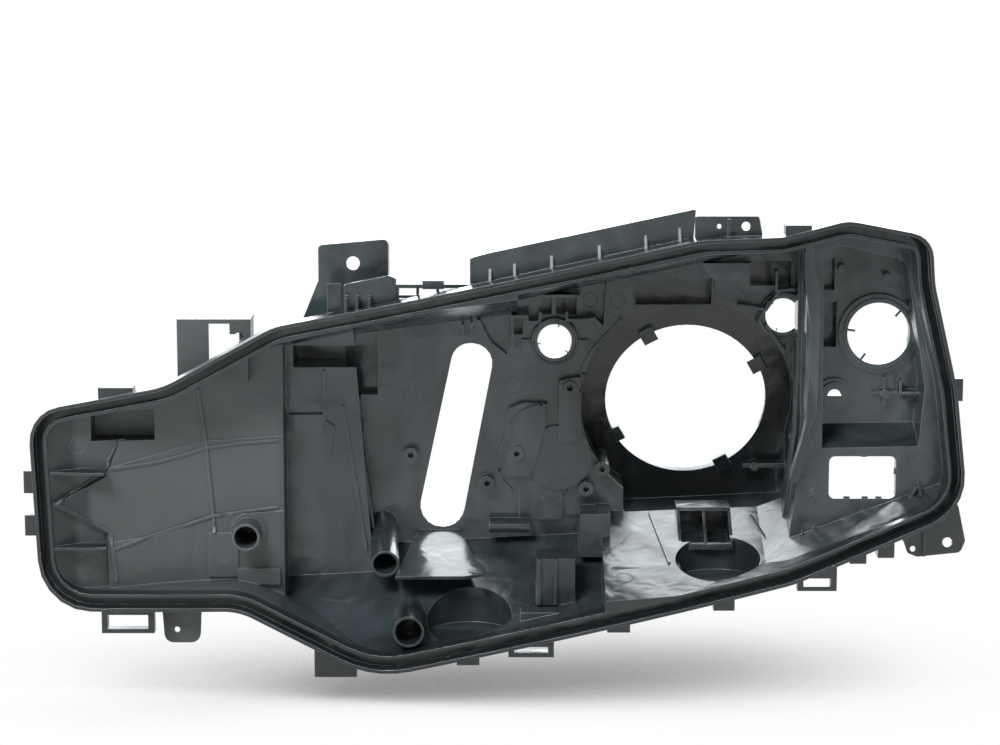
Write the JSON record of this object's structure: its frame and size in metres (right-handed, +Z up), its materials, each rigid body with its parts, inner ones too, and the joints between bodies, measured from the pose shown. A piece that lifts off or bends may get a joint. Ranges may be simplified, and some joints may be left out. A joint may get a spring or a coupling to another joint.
{
  "type": "headlamp housing",
  "caption": "Bare black plastic bucket of a car headlamp, open at the front, with a glue groove round its rim, lamp ports in its rear walls and brackets outside.",
  "frame": {"origin": "centre of the main lamp port, on the rear face of its flange", "axes": "+X to the right as seen from the open front, +Y from the open front to the back, +Z up"},
  "size_m": [0.6289, 0.1759, 0.3087],
  "materials": {
    "black_plastic": "satin"
  },
  "bodies": {
    "root": {"housing": "black_plastic"}
  },
  "joints": []
}
